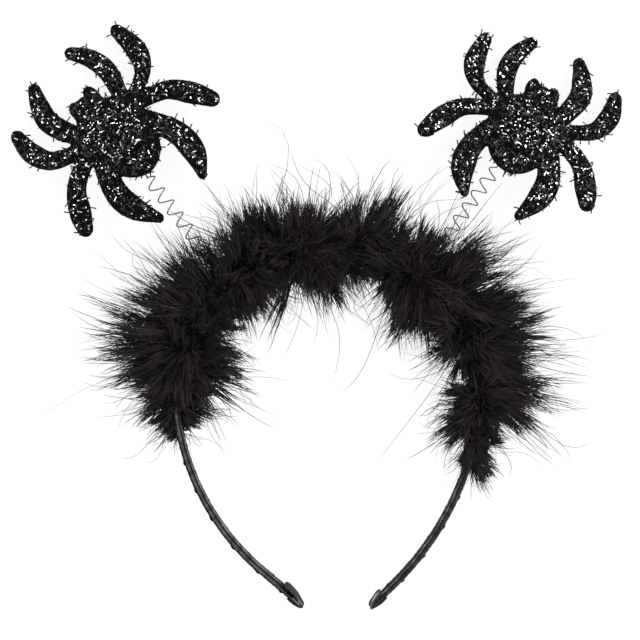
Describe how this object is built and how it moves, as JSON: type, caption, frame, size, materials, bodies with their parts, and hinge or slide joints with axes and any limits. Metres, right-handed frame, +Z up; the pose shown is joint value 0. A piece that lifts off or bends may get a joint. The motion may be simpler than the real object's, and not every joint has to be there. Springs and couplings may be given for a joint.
{
  "type": "spider headband",
  "caption": "Ribbon-wrapped hair band with a fluffy feather trim over the crown and glitter spiders standing off it on coil springs, lying flat.",
  "frame": {"origin": "on the ground under the middle of the whole object's box", "axes": "+Z up from the ground it lies on, +Y from the open ends of the band towards its crown, +X to the right as seen from above with the crown at the top"},
  "size_m": [0.247, 0.2362, 0.0321],
  "materials": {
    "ribbon": "satin ribbon",
    "feather": "soft down",
    "wire": "bare spring wire",
    "glitter": "tinsel glitter"
  },
  "bodies": {
    "root": {"band": "ribbon", "left_end_fold": "ribbon", "right_end_fold": "ribbon", "feather_trim": "feather", "left_spring": "wire", "right_spring": "wire", "left_spider": "glitter", "right_spider": "glitter"}
  },
  "joints": []
}
